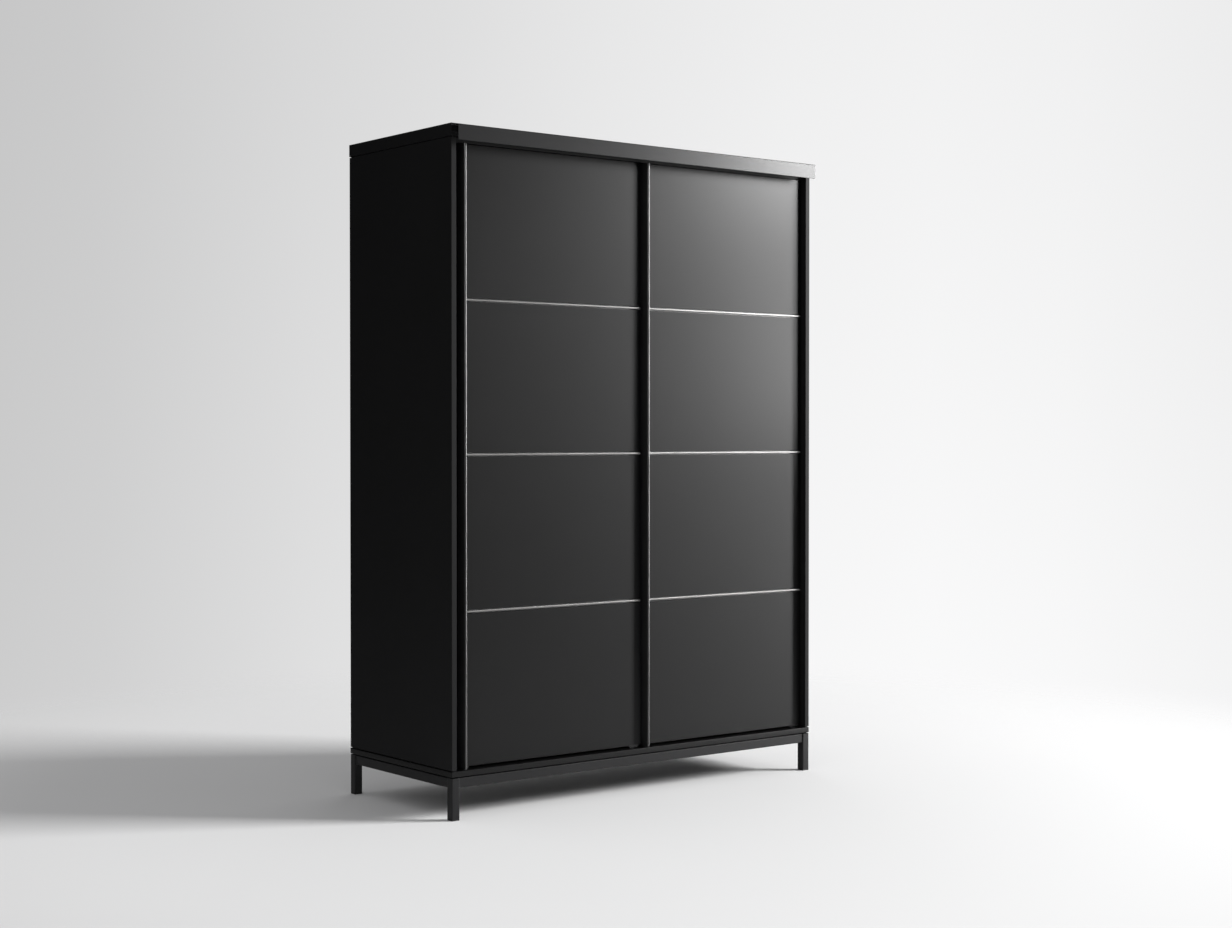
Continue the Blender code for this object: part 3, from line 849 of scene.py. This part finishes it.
# Share of the way across the studio, from left to right, and how brightly the backdrop glows there,
# as painted light that is brightest towards the key light.
BACKDROP = (
    (0.300, 0.595),
    (0.345, 0.638),
    (0.405, 0.737),
    (0.450, 0.790),
    (0.500, 0.868),
    (0.554, 0.930),
    (0.600, 0.953),
    (0.640, 0.945),
    (0.683, 0.910),
    (1.000, 0.700),
)
BACKDROP_RADIUS = 25.0
# The backdrop's painted glow loses a little of its strength between these heights.
BACKDROP_HEIGHTS = (-3.0, 8.0)
BACKDROP_STRENGTHS = (1.0, 0.92)
BACKDROP_BLUE = 1.004
SKY_BLUE = 1.01


def backdrop_finish():
    """A pale surround that glows with painted light, brightest towards the key light."""
    material = bpy.data.materials.new("backdrop, painted glow")
    material.use_nodes = True
    tree = material.node_tree
    place = tree.nodes.new("ShaderNodeTexCoord").outputs["Object"]
    yaw = stage_settings().camera_yaw
    across = (math.cos(yaw) / BACKDROP_RADIUS, math.sin(yaw) / BACKDROP_RADIUS, 0.0)
    dot = add_node(tree, "ShaderNodeVectorMath", {0: place, 1: across}, operation="DOT_PRODUCT")
    share = spread(tree, dot.outputs["Value"], (-1.0, 1.0), (0.0, 1.0))
    ramp = add_node(tree, "ShaderNodeValToRGB", {"Fac": share})
    stops = ramp.color_ramp.elements
    while len(stops) < len(BACKDROP):
        stops.new(0.5)
    for stop, (where, level) in zip(stops, BACKDROP):
        stop.position = where
        stop.color = (level, level, level * BACKDROP_BLUE, 1.0)
    height = add_node(tree, "ShaderNodeSeparateXYZ", {0: place}).outputs["Z"]
    strength = spread(tree, height, BACKDROP_HEIGHTS, BACKDROP_STRENGTHS)
    # Painted light: the dome glows brighter towards the key light and a little dimmer higher up.
    values = {"Color": ramp.outputs["Color"], "Strength": strength}
    glow = add_node(tree, "ShaderNodeEmission", values)
    tree.links.new(glow.outputs[0], tree.nodes["Material Output"].inputs["Surface"])
    return material


def build_backdrop():
    """A great pale dome that only the camera sees, and the even light that fills the studio."""
    shape = bmesh.new()
    bmesh.ops.create_icosphere(shape, subdivisions=4, radius=BACKDROP_RADIUS)
    dome = add_object("studio_backdrop", mesh_from(shape, "studio_backdrop", backdrop_finish()))
    dome.visible_diffuse = False
    dome.visible_glossy = False
    dome.visible_transmission = False
    dome.visible_shadow = False
    world = bpy.data.worlds.new("studio")
    bpy.context.scene.world = world
    world.use_nodes = True
    sky = stage_settings().sky
    colour = world.node_tree.nodes["Background"].inputs["Color"]
    colour.default_value = (sky, sky, sky * SKY_BLUE, 1.0)
    world.cycles_visibility.glossy = False


# How far the key light stands to the camera's right and above the floor, and what it points at.
KEY_ACROSS = 14.0
KEY_HEIGHT = 6.7
KEY_TARGET = (0.0, 0.0, 0.8)
# The soft lights that are seen only in gloss.
UPPER_SHEEN = {"target": (0.1, -0.26, 1.95), "size": (0.5, 1.5)}
TOP_SHEEN = {"target": (0.1, -0.26, 1.6), "size": (0.5, 0.6)}
FAR_SHEEN = {"place": (6.5, -3.2, 1.4), "target": (0.0, -0.26, 1.2), "size": (1.2, 3.5)}
BACK_SHEEN = {"place": (2.6, 3.4, 1.9), "target": (0.0, 0.3, 1.1), "size": (0.8, 2.2)}
SIDE_SHEEN = {"place": (-5.2, -2.8, 2.4), "target": (-0.7, 0.0, 1.1), "size": (1.2, 2.4)}
# The top light's height above the upper one, and two lights' powers as a share of their setting.
TOP_SHEEN_RISE = 0.5
TOP_SHEEN_SHARE = 1.4
SIDE_SHEEN_SHARE = 2.4


def add_area_light(name, place, target, size, power):
    light = bpy.data.lights.new(name, "AREA")
    light.shape = "RECTANGLE"
    light.size, light.size_y = size
    light.energy = power
    lamp = add_object(name, light)
    lamp.location = place
    lamp.rotation_euler = (Vector(target) - Vector(place)).to_track_quat("-Z", "Y").to_euler()
    lamp.visible_camera = False
    return lamp


def add_sheen(name, place, target, size, power):
    """A soft light that is seen only in gloss."""
    add_area_light(name, place, target, size, power).visible_diffuse = False


def build_lights():
    look = stage_settings()
    across = Vector((math.cos(look.camera_yaw), math.sin(look.camera_yaw), 0.0))
    place = across * KEY_ACROSS + Vector((0.0, 0.0, KEY_HEIGHT))
    size = (look.key_size, look.key_size)
    key = add_area_light("key", place, KEY_TARGET, size, look.key_power)
    key.visible_glossy = False
    upper = Vector(look.sheen_place)
    top = upper + Vector((0.0, 0.0, TOP_SHEEN_RISE))
    add_sheen("upper sheen", upper, **UPPER_SHEEN, power=look.sheen_power)
    add_sheen("top sheen", top, **TOP_SHEEN, power=look.sheen_power * TOP_SHEEN_SHARE)
    add_sheen("far sheen", **FAR_SHEEN, power=look.far_power)
    add_sheen("back sheen", **BACK_SHEEN, power=look.rim_power)
    add_sheen("side sheen", **SIDE_SHEEN, power=look.rim_power * SIDE_SHEEN_SHARE)


SENSOR_WIDTH = 36.0
CAMERA_CLIP = (0.05, 100.0)


def build_camera():
    look = stage_settings()
    data = bpy.data.cameras.new("camera")
    data.sensor_width = SENSOR_WIDTH
    data.lens = look.lens
    data.clip_start, data.clip_end = CAMERA_CLIP
    camera = add_object("camera", data)
    camera.location = look.camera_place
    camera.rotation_euler = (look.camera_tilt, 0.0, look.camera_yaw)
    bpy.context.scene.camera = camera


class PieceOperator:
    """What the operators share: each runs its own build functions in order."""

    bl_options = {"REGISTER", "UNDO"}
    steps = ()

    def execute(self, context):
        for step in self.steps:
            step()
        return {"FINISHED"}


class WARDROBE_OT_stage(PieceOperator, bpy.types.Operator):
    """Set up the pale floor, the backdrop, the soft lights and the camera"""

    bl_idname = "wardrobe.stage"
    bl_label = "Stage"
    steps = (build_floor, build_backdrop, build_lights, build_camera)


class WARDROBE_OT_finishes(PieceOperator, bpy.types.Operator):
    """Make the wardrobe's materials"""

    bl_idname = "wardrobe.finishes"
    bl_label = "Finishes"
    steps = (make_finishes,)


class WARDROBE_OT_boards(PieceOperator, bpy.types.Operator):
    """Finish the outer boards of the carcass"""

    bl_idname = "wardrobe.boards"
    bl_label = "Carcass boards"
    steps = (build_boards,)


class WARDROBE_OT_interior(PieceOperator, bpy.types.Operator):
    """Finish the shelves, the partition, the back and the hanging rail"""

    bl_idname = "wardrobe.interior"
    bl_label = "Interior"
    steps = (build_interior,)


class WARDROBE_OT_base(PieceOperator, bpy.types.Operator):
    """Finish the tube base and its glides"""

    bl_idname = "wardrobe.base"
    bl_label = "Base frame"
    steps = (build_base,)


class WARDROBE_OT_fascia(PieceOperator, bpy.types.Operator):
    """Make the folded fascia"""

    bl_idname = "wardrobe.fascia"
    bl_label = "Fascia"
    steps = (build_fascia,)


class WARDROBE_OT_grips(PieceOperator, bpy.types.Operator):
    """Make the upright grips and finish the leaf frames"""

    bl_idname = "wardrobe.grips"
    bl_label = "Grips and leaf frames"
    steps = (build_grips, build_frames)


class WARDROBE_OT_panels(PieceOperator, bpy.types.Operator):
    """Finish the door panels and their beads"""

    bl_idname = "wardrobe.panels"
    bl_label = "Panels and beads"
    steps = (build_panels, build_beads)


class WARDROBE_OT_hardware(PieceOperator, bpy.types.Operator):
    """Finish the pivots and catches, and make the shelf pins, screws and felt pads"""

    bl_idname = "wardrobe.hardware"
    bl_label = "Hardware"
    steps = (build_hardware, build_shelf_fixings, build_screws, build_pads)


OPERATORS = (
    WARDROBE_OT_stage,
    WARDROBE_OT_finishes,
    WARDROBE_OT_boards,
    WARDROBE_OT_interior,
    WARDROBE_OT_base,
    WARDROBE_OT_fascia,
    WARDROBE_OT_grips,
    WARDROBE_OT_panels,
    WARDROBE_OT_hardware,
)


class WARDROBE_PT_sidebar(bpy.types.Panel):
    """The wardrobe's settings and operators"""

    bl_label = "Wardrobe"
    bl_idname = "WARDROBE_PT_sidebar"
    bl_space_type = "VIEW_3D"
    bl_region_type = "UI"
    bl_category = "Wardrobe"

    def draw(self, context):
        for group in ("wardrobe_finishes", "wardrobe_details", "wardrobe_stage"):
            settings = getattr(context.scene, group)
            box = self.layout.box()
            for name in settings.__annotations__:
                box.prop(settings, name)
        for operator in OPERATORS:
            self.layout.operator(operator.bl_idname)


GROUPS = (WardrobeFinishes, WardrobeDetails, WardrobeStage)
CLASSES = (*GROUPS, *OPERATORS, WARDROBE_PT_sidebar)


def register():
    for made in CLASSES:
        bpy.utils.register_class(made)
    bpy.types.Scene.wardrobe_finishes = PointerProperty(type=WardrobeFinishes)
    bpy.types.Scene.wardrobe_details = PointerProperty(type=WardrobeDetails)
    bpy.types.Scene.wardrobe_stage = PointerProperty(type=WardrobeStage)


def unregister():
    del bpy.types.Scene.wardrobe_stage
    del bpy.types.Scene.wardrobe_details
    del bpy.types.Scene.wardrobe_finishes
    for made in reversed(CLASSES):
        bpy.utils.unregister_class(made)


def main():
    register()
    bpy.context.scene.view_settings.view_transform = "Standard"
    for operator in OPERATORS:
        getattr(bpy.ops.wardrobe, operator.bl_idname.split(".")[1])()


if __name__ == "__main__":
    main()
